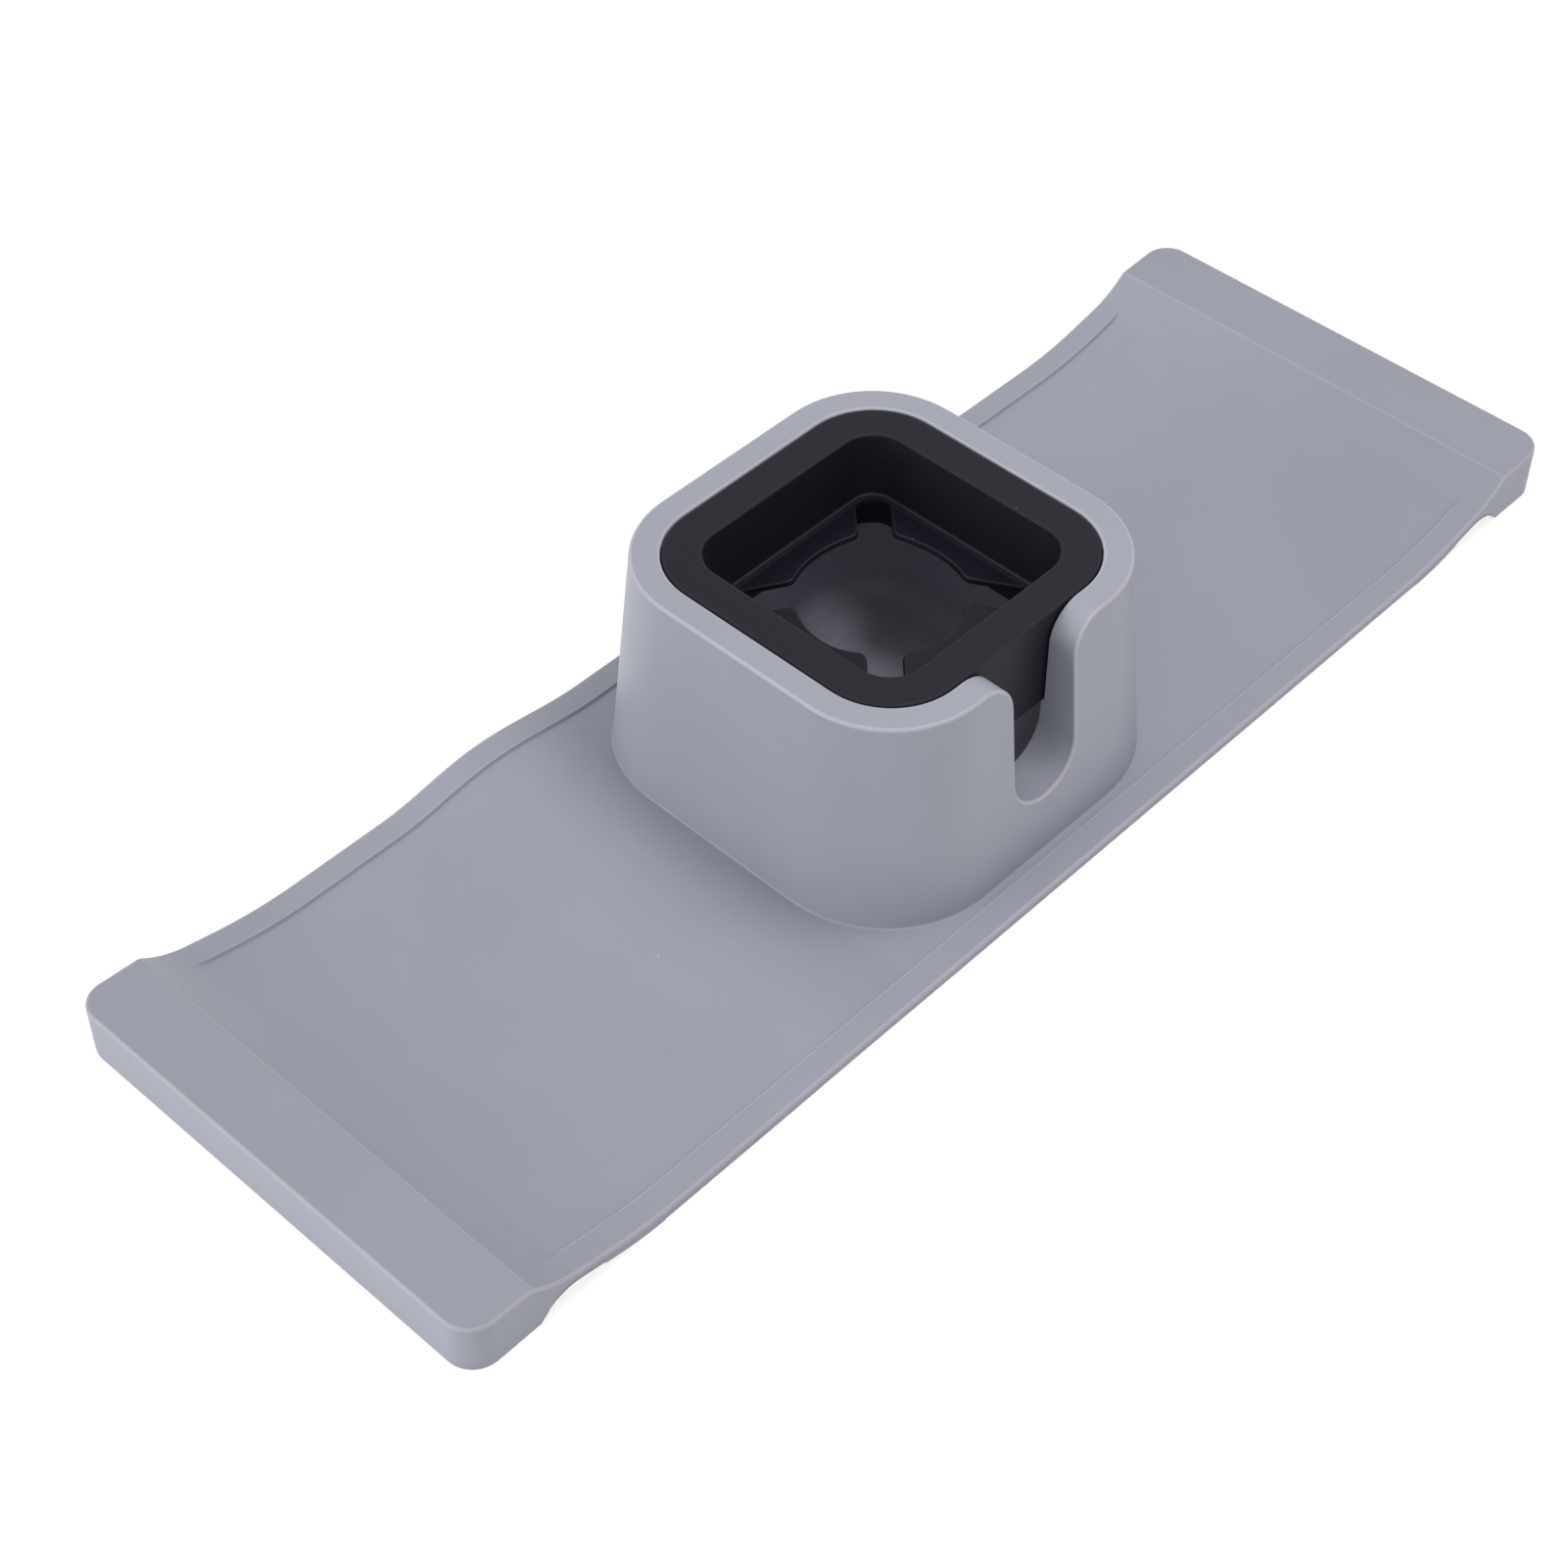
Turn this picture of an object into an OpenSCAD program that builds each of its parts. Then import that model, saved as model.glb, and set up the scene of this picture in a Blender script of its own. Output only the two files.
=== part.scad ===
// Sofa arm tray: a soft silicone tray with a weighted bar at each end, which is laid over the arm of a sofa,
// and a square cup holder in its middle with a lift-out insert.
// Millimetres. X runs along the tray, Y across it and Z up. The origin is on the underside, at the tray's centre.
// The mug's handle slot opens towards -Y.

/* [Tray] */
// Length of the tray laid flat, from the outside of one end bar to the other
tray_length = 450; // [420:1:520]
// Width of the tray
tray_width = 150; // [146:1:180]
// Thickness of the web inside the raised borders
web_thickness = 2.6; // [2:0.1:3.4]
// Width of the raised border along each long edge
border_width = 8; // [5:0.5:8.5]
// Height of the border above the web
border_proud = 0.8; // [0.4:0.1:1.4]
// Radius of the tray's four corners, seen from above
corner_radius = 8.5; // [3:0.5:12]
// Web between the middle of the tray and the first line where it bends
middle_reach = 78; // [70:1:84]
// Web between one bending line and the next
bend_pitch = 16; // [12:0.5:18]

/* [End bars] */
// Width of the flat top of an end bar
bar_width = 21.5; // [17:0.5:28]
// Height of an end bar at its outer face
bar_height = 17; // [15.5:0.5:20]
// Height of an end bar at the ridge where its ramp begins
ridge_height = 15.7; // [14:0.1:17]
// Length of the ramp from the ridge down to the web
ramp_length = 37; // [32:0.5:42]
// Slope of the ramp's lower stretch in degrees
ramp_slope = 12.5; // [9:0.5:14]
// Length of that straight lower stretch along the tray
ramp_straight = 22.5; // [18:0.5:25]
// Thickness of that stretch along the border, measured upright; it sets how far the hollow under the ramp rises
ramp_thickness = 3.7; // [3.4:0.1:6]
// Radius of the hollow's curve up against the bar
hollow_radius = 14; // [8:1:20]
// Width of the face that an end bar stands on
bar_foot = 22.5; // [20:0.5:26]

/* [End weights] */
// Length of the steel bar sealed in each end bar
weight_length = 126; // [90:1:132]
// Width of the steel bar
weight_width = 13; // [8:0.5:14]
// Thickness of the steel bar
weight_thickness = 9; // [5:0.5:10]

/* [Cup holder] */
// Height of the holder's rim above the underside
holder_height = 72; // [66:0.5:80]
// Width of the holder at its rim
holder_top = 114.5; // [111:0.5:118]
// Width of the holder at its foot
holder_foot = 128.4; // [122:0.2:130]
// Distance between the centres of the rounded corners, the same for every outline of holder and insert
corner_spacing = 53; // [50:0.5:56]
// Width of the holder's hollow, where the insert or a wide mug goes
hollow_width = 97.6; // [96:0.2:101]
// Height of the seat inside the hollow, which carries the insert
seat_height = 39.5; // [34:0.5:42]
// Width of that seat
seat_width = 1; // [0.8:0.1:3]
// Thickness of the holder's floor
floor_thickness = 4; // [3:0.5:6]
// Bevel along the rim's edges
rim_bevel = 0.8; // [0.3:0.1:1.2]

/* [Handle slot] */
// Width of the slot for a mug's handle
slot_width = 24.8; // [18:0.2:30]
// Height of the slot's round bottom above the underside
slot_bottom = 21.5; // [14:0.5:26]
// Radius of the two rounded lips at the slot's mouth
slot_lip_radius = 11; // [5:0.5:14]

/* [Cup insert] */
// Clearance between the insert and the hollow on every side
insert_clearance = 0.3; // [0.2:0.05:0.6]
// Width of the insert's rim
insert_rim = 11; // [8:0.5:12]
// Width of the well where it meets the ledge
well_foot = 68; // [64:0.5:72]
// Height of the ledge's and the grip flaps' upper face above the underside
ledge_height = 53; // [48:0.5:56]
// Width of the fixed ledge round the foot of the well
ledge_width = 2.2; // [1.4:0.1:3]
// Bevel along the inside of the insert's lower end
skirt_bevel = 3; // [1:0.5:5]

/* [Grip flaps] */
// Thickness of the ledge and of the grip flaps, measured upright
flap_thickness = 1.8; // [1.2:0.1:2.6]
// Diameter of the round hole between the flaps
grip_hole = 48.4; // [40:0.2:54]
// Slope at which the flaps rise from the ledge towards the middle of the well, in degrees
flap_slope = 18.5; // [10:0.5:22]
// Width of the channel between two flaps
channel_width = 10.2; // [8:0.1:14]
// Radius of a flap's ears, where the channels meet the round hole
ear_radius = 3; // [1:0.5:4]

/* [Hidden] */
$fn = 96;
past = 1; // how far a cutter runs past the face that it cuts

grey_silicone = "#9b9dab";
black_silicone = "#2b2b30";
steel = "#9a9ca0";

border_top = web_thickness + border_proud;
web_strips = 3; // strips of web between the middle and a wing, on each side
wing_start = middle_reach + web_strips * bend_pitch;
tray_end = tray_length / 2;
ridge_x = tray_end - bar_width;
ramp_foot = ridge_x - ramp_length;

corner_at = corner_spacing / 2;
hollow_foot = hollow_width - 2 * seat_width;
insert_width = hollow_width - 2 * insert_clearance;
well_mouth = insert_width - 2 * insert_rim;
well_neck = well_mouth - 2 * rim_bevel; // just under the bevel round the mouth
skirt_mouth = well_foot + 2 * skirt_bevel;
ledge_inside = well_foot - 2 * ledge_width;
flap_root = ledge_inside / 2;
flap_rise = flap_root * tan(flap_slope); // if a flap went on to the middle of the well

grip_r = grip_hole / 2;
channel_offset = channel_width / sqrt(2); // from the diagonal to a channel's side, measured along Y
ear_offset = channel_offset + ear_radius * sqrt(2);
ear_x = (sqrt(2 * pow(grip_r + ear_radius, 2) - pow(ear_offset, 2)) - ear_offset) / 2;
ear_centre = [ear_x, ear_x + ear_offset];

function holder_width(z) = holder_foot + (holder_top - holder_foot) * z / holder_height;

// Shapes that several pieces share

// A square pillar with rounded corners, widening or narrowing evenly from low_z to high_z.
// The corner centres stay corner_spacing apart, so every outline runs parallel to the others.
module square_pillar(low_width, high_width, low_z, high_z) {
    low_r = low_width / 2 - corner_at;
    high_r = high_width / 2 - corner_at;
    for (x = [-1, 1], y = [-1, 1])
        translate([x * corner_at, y * corner_at, low_z])
            cylinder(h = high_z - low_z, r1 = low_r, r2 = high_r);
    for (turn = [0, 90])
        rotate([90, 0, turn])
            linear_extrude(corner_spacing, center = true)
                polygon([[-low_width / 2, low_z], [low_width / 2, low_z],
                         [high_width / 2, high_z], [-high_width / 2, high_z]]);
}

// Flat web from one place along the tray to another, with the raised border along both long edges
module web(from_x, to_x) {
    translate([from_x, -tray_width / 2, 0])
        cube([to_x - from_x, tray_width, web_thickness]);
    for (side = [-1, 1])
        translate([from_x, side * (tray_width - border_width) / 2 - border_width / 2, 0])
            cube([to_x - from_x, border_width, border_top]);
}

// Section of a wing beyond the web, seen along Y: ramp and end bar
module wing_section(top) {
    straight_end = [ramp_foot + ramp_straight, top + ramp_straight * tan(ramp_slope)];
    ridge = [ridge_x, ridge_height];
    chord = ridge - straight_end;
    normal = [-sin(ramp_slope), cos(ramp_slope)];
    sweep_r = (chord * chord) / (2 * (normal * chord));
    difference() {
        polygon([[ramp_foot, 0], [ramp_foot, top], straight_end, ridge, [tray_end, bar_height], [tray_end, 0]]);
        translate(straight_end + sweep_r * normal)
            circle(sweep_r);
    }
}

// Hollow under a ramp, seen along Y: its roof runs parallel to the ramp, then curves down to the bar's foot
module ramp_hollow() {
    along = [cos(ramp_slope), sin(ramp_slope)];
    down = [sin(ramp_slope), -cos(ramp_slope)];
    start = [ramp_foot + (ramp_thickness - border_top) / tan(ramp_slope), 0];
    foot = [tray_end - bar_foot, 0];
    to_centre = start + hollow_radius * down - foot;
    back = to_centre * along;
    reach = -back - sqrt(pow(back, 2) - to_centre * to_centre + pow(hollow_radius, 2));
    centre = start + reach * along + hollow_radius * down;
    translate(centre)
        circle(hollow_radius);
    polygon([start, start + reach * along, centre, [centre[0], -hollow_radius], [start[0], -hollow_radius]]);
}

module wing_block(top, low_y, high_y) {
    translate([0, high_y, 0])
        rotate([90, 0, 0])
            linear_extrude(high_y - low_y)
                wing_section(top);
}

// The tray's outline beyond the bending strips, with its two rounded corners, seen from above
module wing_outline() {
    translate([wing_start, -tray_width / 2])
        square([tray_end - corner_radius - wing_start, tray_width]);
    translate([wing_start, corner_radius - tray_width / 2])
        square([tray_end - wing_start, tray_width - 2 * corner_radius]);
    for (side = [-1, 1])
        translate([tray_end - corner_radius, side * (tray_width / 2 - corner_radius)])
            circle(corner_radius);
}

module weight() {
    translate([ridge_x + bar_width / 2, 0, ridge_height / 2])
        cube([weight_width, weight_length, weight_thickness], center = true);
}

module wing() {
    half = tray_width / 2;
    difference() {
        intersection() {
            union() {
                web(wing_start, ramp_foot);
                wing_block(web_thickness, -half, half);
                wing_block(border_top, -half, border_width - half);
                wing_block(border_top, half - border_width, half);
            }
            linear_extrude(bar_height + past)
                wing_outline();
        }
        translate([0, half + past, 0])
            rotate([90, 0, 0])
                linear_extrude(tray_width + 2 * past)
                    ramp_hollow();
        weight();
    }
}

module web_strip(number) {
    web(middle_reach + (number - 1) * bend_pitch, middle_reach + number * bend_pitch);
}

// Opening for a mug's handle, seen along Y: round bottom, straight sides, rounded lips at the mouth
module slot_shape() {
    slot_r = slot_width / 2;
    mouth = slot_width + 2 * slot_lip_radius;
    translate([0, slot_bottom + slot_r])
        circle(slot_r);
    translate([-slot_r, slot_bottom + slot_r])
        square([slot_width, holder_height + past - slot_bottom - slot_r]);
    difference() {
        translate([-mouth / 2, holder_height - slot_lip_radius])
            square([mouth, slot_lip_radius + past]);
        for (side = [-1, 1])
            translate([side * mouth / 2, holder_height - slot_lip_radius])
                circle(slot_lip_radius);
    }
}

module cup_holder() {
    bevel_z = holder_height - rim_bevel;
    color(grey_silicone)
    difference() {
        union() {
            web(-middle_reach, middle_reach);
            square_pillar(holder_foot, holder_width(bevel_z), 0, bevel_z);
            square_pillar(holder_width(bevel_z), holder_width(bevel_z) - 2 * rim_bevel, bevel_z, holder_height);
        }
        square_pillar(hollow_foot, hollow_foot, floor_thickness, seat_height);
        square_pillar(hollow_width, hollow_width, seat_height, holder_height + past);
        rotate([90, 0, 0])
            linear_extrude(holder_foot)
                slot_shape();
    }
}

module right_web_1() { color(grey_silicone) web_strip(1); }
module right_web_2() { color(grey_silicone) web_strip(2); }
module right_web_3() { color(grey_silicone) web_strip(3); }
module right_wing() { color(grey_silicone) wing(); }
module right_weight() { color(steel) weight(); }

// The left side is the right side's mirror image
module left_web_1() { color(grey_silicone) mirror([1, 0, 0]) web_strip(1); }
module left_web_2() { color(grey_silicone) mirror([1, 0, 0]) web_strip(2); }
module left_web_3() { color(grey_silicone) mirror([1, 0, 0]) web_strip(3); }
module left_wing() { color(grey_silicone) mirror([1, 0, 0]) wing(); }
module left_weight() { color(steel) mirror([1, 0, 0]) weight(); }

module cup_insert() {
    bevel_z = holder_height - rim_bevel;
    ledge_under = ledge_height - flap_thickness;
    color(black_silicone)
    difference() {
        union() {
            square_pillar(insert_width, insert_width, seat_height, bevel_z);
            square_pillar(insert_width, insert_width - 2 * rim_bevel, bevel_z, holder_height);
        }
        square_pillar(well_foot, well_neck, ledge_height, bevel_z);
        square_pillar(well_neck, well_mouth + 2 * past, bevel_z, holder_height + past);
        square_pillar(ledge_inside, ledge_inside, ledge_under - past, ledge_height + past);
        square_pillar(well_foot, well_foot, seat_height - past, ledge_under);
        square_pillar(skirt_mouth + 2 * past, well_foot, seat_height - past, seat_height + skirt_bevel);
    }
}

// A grip flap on the +Y side of the well, seen from above
module flap_outline() {
    difference() {
        polygon([[0, channel_offset], [flap_root - channel_offset, flap_root],
                 [channel_offset - flap_root, flap_root]]);
        circle(grip_r);
        for (side = [0, 1])
            mirror([side, 0])
                polygon([ear_centre, ear_centre + 2 * ear_radius * [1, -1] / sqrt(2),
                         ear_centre * (grip_r - ear_radius) / (grip_r + ear_radius)]);
    }
    for (side = [-1, 1])
        translate([side * ear_centre[0], ear_centre[1]])
            circle(ear_radius);
}

// Section of a grip flap on the +Y side, seen along its root
module flap_section() {
    polygon([[0, flap_rise], [flap_root, 0], [flap_root, -flap_thickness], [0, flap_rise - flap_thickness]]);
}

module grip_flap(turn) {
    color(black_silicone)
    translate([0, 0, ledge_height])
        rotate([0, 0, turn])
            intersection() {
                translate([0, 0, -flap_thickness])
                    linear_extrude(flap_thickness + flap_rise)
                        flap_outline();
                rotate([90, 0, 90])
                    linear_extrude(2 * flap_root, center = true)
                        flap_section();
            }
}

module grip_flap_back() { grip_flap(0); }
module grip_flap_left() { grip_flap(90); }
module grip_flap_front() { grip_flap(180); }
module grip_flap_right() { grip_flap(270); }

cup_holder();
right_web_1();
right_web_2();
right_web_3();
right_wing();
right_weight();
left_web_1();
left_web_2();
left_web_3();
left_wing();
left_weight();
cup_insert();
grip_flap_front();
grip_flap_back();
grip_flap_left();
grip_flap_right();
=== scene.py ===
"""Models and finishes the pieces of a silicone sofa arm tray on its packed CAD frame.

Lengths are metres in the frame of the part: X along the tray, Y across it, Z up, origin on the underside.
"""

import math

import bmesh
import bpy
from mathutils import Matrix, Vector


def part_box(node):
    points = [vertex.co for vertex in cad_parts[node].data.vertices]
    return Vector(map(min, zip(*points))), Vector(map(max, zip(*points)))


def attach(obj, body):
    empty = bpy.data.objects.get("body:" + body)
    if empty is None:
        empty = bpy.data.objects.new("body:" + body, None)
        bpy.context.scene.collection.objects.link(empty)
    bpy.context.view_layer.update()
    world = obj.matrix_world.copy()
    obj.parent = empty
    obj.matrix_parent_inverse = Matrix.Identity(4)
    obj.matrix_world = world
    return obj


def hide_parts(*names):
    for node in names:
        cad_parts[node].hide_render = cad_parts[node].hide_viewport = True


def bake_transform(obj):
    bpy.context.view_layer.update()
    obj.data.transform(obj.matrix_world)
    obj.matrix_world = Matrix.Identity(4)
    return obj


bl_info = {
    "name": "Sofa Arm Tray",
    "version": (1, 0, 0),
    "blender": (4, 5, 0),
    "location": "View3D > Sidebar > Sofa Tray",
    "description": "Models and finishes the pieces of a silicone sofa arm tray with a cup holder",
    "category": "Add Mesh",
}

MM = 0.001
NEAR = 0.01 * MM  # two heights or places closer than this are the same
DOUBLE = 0.002 * MM  # vertices closer than this are merged
SHARP = 1  # radians: an edge that folds by more than this is one that the mould rounds
LOOKS_UP = 0.9  # least Z of the normal of a face that looks up
CORNER_STEPS = 20  # flats round a corner of the holder or insert, and round half of the slot's bottom
BENDS = 4  # bends in the web on each side of the holder
PAINTED_HIGHLIGHT_SKIN = 1  # second finish of a silicone piece: a paler colour on its rounded edges, ridge and step edges, a painted highlight
AS_BESIDE = -1  # a rounding takes the finish of the faces beside it

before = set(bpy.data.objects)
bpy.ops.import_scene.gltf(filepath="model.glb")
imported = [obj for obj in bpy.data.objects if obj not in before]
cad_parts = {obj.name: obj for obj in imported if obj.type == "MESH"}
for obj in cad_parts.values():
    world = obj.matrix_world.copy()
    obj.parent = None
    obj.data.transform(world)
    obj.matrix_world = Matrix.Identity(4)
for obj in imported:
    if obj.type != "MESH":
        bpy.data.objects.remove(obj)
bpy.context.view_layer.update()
tray_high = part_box("right_wing")[1]


def linear_colour(code):
    """Turns a colour written as an sRGB hex value into Blender's linear values."""
    values = [int(code[i:i + 2], 16) / 255 for i in (1, 3, 5)]
    return [v / 12.92 if v <= 0.04045 else ((v + 0.055) / 1.055) ** 2.4 for v in values]


def length(name, description, value):
    """A property that holds a length, with its default given in millimetres."""
    return bpy.props.FloatProperty(
        name=name, description=description, default=value * MM, min=0, unit="LENGTH", subtype="DISTANCE",
        precision=4)


def incline(name, description, degrees):
    """A property that holds an angle, with its default given in degrees."""
    return bpy.props.FloatProperty(
        name=name, description=description, default=math.radians(degrees), subtype="ANGLE")


def colour(name, description, code):
    """A property that holds a surface colour, with its default given as an sRGB hex value."""
    return bpy.props.FloatVectorProperty(
        name=name, description=description, default=linear_colour(code), min=0, max=1, size=3,
        subtype="COLOR")


class TraySizes(bpy.types.PropertyGroup):
    """Sizes of the web, its borders and the end bars"""
    half_length: length("Half length", "From the tray's middle to a bar's outer face", tray_high.x / MM)
    half_width: length("Half width", "From the tray's middle to its long edge", tray_high.y / MM)
    web: length("Web", "Thickness of the web inside the borders", 2.6)
    border: length("Border", "Width of the raised border along a long edge", 8)
    proud: length("Border step", "Height of the border above the web", 0.8)
    step: length("Step width", "Width over which the border rises from the web", 0.3)
    crease: length("Crease", "Depth and half the width of the crease along the foot of the step", 0.18)
    # The step's pale edge is a painted highlight
    lip: length("Step edge", "Width of the pale edge along the top of the border's step", 0.35)
    middle: length("Middle", "From the tray's middle to where the first bend begins", 70)
    pitch: length("Bend pitch", "Length of web that one bend takes up", 16)
    ramp_foot: length("Ramp foot", "From the tray's middle to where the ramp begins", 166.5)
    ramp_straight: length("Straight ramp", "Length of the ramp's straight lower stretch", 22.5)
    ramp_slope: incline("Ramp slope", "Slope of the ramp's lower stretch", 12.5)
    ramp_sheet: length("Ramp sheet", "Thickness of the ramp above its hollow, measured upright", 3.7)
    roof_blend: length("Hollow blend", "Half the length over which the underside curves into the hollow", 8)
    hollow: length("Hollow", "Radius of the hollow's curve up against the bar", 14)
    ridge: length("Ridge", "From the tray's middle to the ridge of a bar", 203.5)
    ridge_height: length("Ridge height", "Height of the ridge", 15.7)
    bar_foot: length("Bar foot", "From the tray's middle to the foot of a bar", 202.5)
    bar_height: length("Bar height", "Height of a bar at its outer face", 17)
    corner: length("Corner", "Radius of the tray's corners seen from above", 8.5)
    ramp_blend: length("Ramp blend", "Half the length over which the web curves up into the ramp", 14)
    ridge_blend: length("Ridge blend", "Half the length over which a ridge is rounded", 0.9)
    edge: length("Edge", "Rounding of the top edges", 0.8)
    sole: length("Sole edge", "Rounding of the edges that the tray stands on", 0.3)
    swell: length("Swell", "Height of the slow swell in the soft web beside the holder", 4.2)


class HolderSizes(bpy.types.PropertyGroup):
    """Sizes of the cup holder in the tray's middle"""
    height: length("Height", "Height of the rim", 72)
    top: length("Top", "Half the width at the rim", 57.25)
    foot: length("Foot", "Half the width at the foot", 64.2)
    corner_at: length("Corner centres", "From the middle to the centre of a rounded corner", 26.5)
    hollow: length("Hollow", "Half the width of the hollow above its seat", 48.8)
    seat: length("Seat", "Height of the seat that carries the insert", 39.5)
    seat_width: length("Seat width", "Width of that seat", 1)
    floor: length("Floor", "Thickness of the floor", 4)
    floor_root: length("Floor root", "Rounding where the floor meets the hollow's sides", 7)
    edge: length("Edge", "Rounding of the rim and of the slot's edges", 0.8)
    root: length("Root", "Rounding where the holder rises from the web", 0.6)
    slot: length("Slot", "Half the width of the handle slot", 12.4)
    slot_bottom: length("Slot bottom", "Height of the slot's round bottom", 21.5)
    lip: length("Lip", "Radius of the lips at the slot's mouth", 11)


class InsertSizes(bpy.types.PropertyGroup):
    """Sizes of the lift-out insert and of its grip flaps"""
    outside: length("Outside", "Half the width outside", 48.5)
    rim: length("Rim", "Width of the rim", 11)
    well_foot: length("Well foot", "Half the width of the well where it meets the ledge", 34)
    ledge: length("Ledge height", "Height of the ledge and of the flaps above the underside", 53)
    ledge_width: length("Ledge width", "Width of the ledge round the foot of the well", 2.2)
    thickness: length("Flap thickness", "Thickness of the ledge and of the flaps", 1.8)
    skirt: length("Skirt bevel", "Bevel inside the lower end", 3)
    edge: length("Edge", "Rounding of the rim's edges", 0.7)
    root: length("Root", "Rounding where the ledge meets the well's sides", 0.6)
    slope: incline("Flap slope", "Slope at which the flaps rise towards the middle of the well", 18.5)
    grip: length("Grip hole", "Radius of the round hole between the flaps", 24.2)
    channel: length("Channel", "Width of the channel between two flaps", 10.2)
    ear: length("Ear", "Radius of a flap's ears", 3)
    flap_edge: length("Flap edge", "Rounding of a flap's edges", 0.4)
    bend: length("Bend", "Length of a flap that bends at its root", 3)


class Finishes(bpy.types.PropertyGroup):
    """Colours of the tray and of the stage"""
    grey: colour("Grey silicone", "Web, bars and holder", "#a3a5b2")
    # Painted highlight: a paler grey on the rounded edges of the web, bars and holder
    grey_edge_highlight: colour("Grey edges", "Edges of the web, bars and holder", "#b6b4c1")
    black: colour("Black silicone", "Insert and flaps", "#12131e")
    # Painted highlight: a paler black on the rounded edges of the insert and flaps
    black_edge_highlight: colour("Black edges", "Edges of the insert and flaps", "#1f202b")
    steel: colour("Steel", "Weights sealed in the bars", "#9a9ca0")
    paper: colour("Floor", "Floor under the tray", "#f2f2f2")


# Choosing and shaping in edit mode

def only(obj):
    """Leaves one object selected and active."""
    bpy.ops.object.select_all(action="DESELECT")
    obj.select_set(True)
    bpy.context.view_layer.objects.active = obj
    return obj


def added(name):
    """Names the primitive that was just added and its mesh."""
    obj = bpy.context.object
    obj.name = obj.data.name = name
    return obj


def rectangle(name, sides, location, rotation=(0, 0, 0)):
    """Adds a flat rectangle with its size, place and turn in its mesh."""
    bpy.ops.object.select_all(action="DESELECT")
    bpy.ops.mesh.primitive_plane_add(size=1, location=location, rotation=rotation)
    obj = added(name)
    obj.scale = (*sides, 1)
    bpy.ops.object.transform_apply(location=True, rotation=True, scale=True)
    return obj


def edit(obj):
    """Opens an object in edit mode with nothing selected."""
    only(obj)
    bpy.ops.object.mode_set(mode="EDIT")
    bpy.ops.mesh.select_mode(type="VERT")
    bpy.ops.mesh.select_all(action="DESELECT")


def done():
    """Goes back to object mode."""
    bpy.ops.object.mode_set(mode="OBJECT")


def pick(kind, test):
    """Selects the vertices, edges or faces that pass a test, and nothing else."""
    bpy.ops.mesh.select_mode(type=kind)
    bpy.ops.mesh.select_all(action="DESELECT")
    data = bpy.context.edit_object.data
    mesh = bmesh.from_edit_mesh(data)
    mesh.normal_update()
    parts = {"VERT": mesh.verts, "EDGE": mesh.edges, "FACE": mesh.faces}[kind]
    found = [part for part in parts if test(part)]
    if not found:
        raise RuntimeError(f"Nothing of kind {kind} to work on in {data.name}")
    for part in found:
        part.select_set(True)
    mesh.select_flush_mode()
    bmesh.update_edit_mesh(data)


def same(a, b):
    """True for two heights or places that are the same."""
    return abs(a - b) < NEAR


def stands_at(part, x):
    """True for an edge or face whose vertices all lie at one place along X."""
    return all(same(v.co.x, x) for v in part.verts)


def lies_at(part, z):
    """True for an edge or face whose vertices all lie at one height."""
    return all(same(v.co.z, z) for v in part.verts)


def fold(edge):
    """Angle between an edge's two faces: positive on an outer edge, negative in a corner inside."""
    return edge.calc_face_angle_signed(0)


def middle_of(edge):
    """The point halfway along an edge."""
    return (edge.verts[0].co + edge.verts[1].co) / 2


def from_axis(point):
    """How far a point of the holder lies from its upright axis, measured square to the nearest side."""
    return max(abs(point.x), abs(point.y))


def slide(x=0.0, y=0.0, z=0.0):
    """Moves what is selected."""
    bpy.ops.transform.translate(value=(x, y, z))


def pull(x=0.0, y=0.0, z=0.0):
    """Extrudes what is selected."""
    bpy.ops.mesh.extrude_region_move(TRANSFORM_OT_translate={"value": (x, y, z)})


def cut(place, normal, **settings):
    """Cuts the whole mesh through with a plane."""
    bpy.ops.mesh.select_all(action="SELECT")
    bpy.ops.mesh.bisect(plane_co=place, plane_no=normal, **settings)


def merge_doubles():
    """Merges the vertices that lie on each other."""
    bpy.ops.mesh.select_all(action="SELECT")
    bpy.ops.mesh.remove_doubles(threshold=DOUBLE)


def face_outwards():
    """Turns all faces outwards."""
    bpy.ops.mesh.select_all(action="SELECT")
    bpy.ops.mesh.normals_make_consistent(inside=False)


def round_off(radius, segments=3, skin=AS_BESIDE):
    """Rounds the selected edges, and gives the rounding one of the piece's finishes."""
    bpy.ops.mesh.bevel(
        offset=radius, offset_type="OFFSET", segments=segments, profile=0.5, affect="EDGES",
        clamp_overlap=False, loop_slide=True, material=skin)


def round_corners(radius):
    """Rounds the corners of a flat shape at its selected vertices."""
    bpy.ops.mesh.bevel(
        offset=radius, offset_type="OFFSET", segments=CORNER_STEPS, profile=0.5, affect="VERTICES",
        clamp_overlap=False)


def give_skin(skin):
    """Gives the selected faces one of the piece's finishes."""
    bpy.context.object.active_material_index = skin
    bpy.ops.object.material_slot_assign()


def add_skins(obj, skins):
    """Gives an object its finishes: the one of its faces and the paler one of its edges, which is a painted
    highlight.
    """
    for skin in skins:
        obj.data.materials.append(skin)


def finish_mesh(obj, angle=60):
    """Merges doubles, turns the faces outwards and shades them smoothly, the wide ones staying flat."""
    edit(obj)
    merge_doubles()
    bpy.ops.mesh.normals_make_consistent(inside=False)
    done()
    only(obj)
    bpy.ops.object.shade_smooth_by_angle(angle=math.radians(angle))
    weights = obj.modifiers.new("flat_faces", "WEIGHTED_NORMAL")
    weights.keep_sharp = True
    weights.weight = 100  # wide faces count for far more than narrow ones
    bpy.ops.object.modifier_apply(modifier=weights.name)
    return obj


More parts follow.
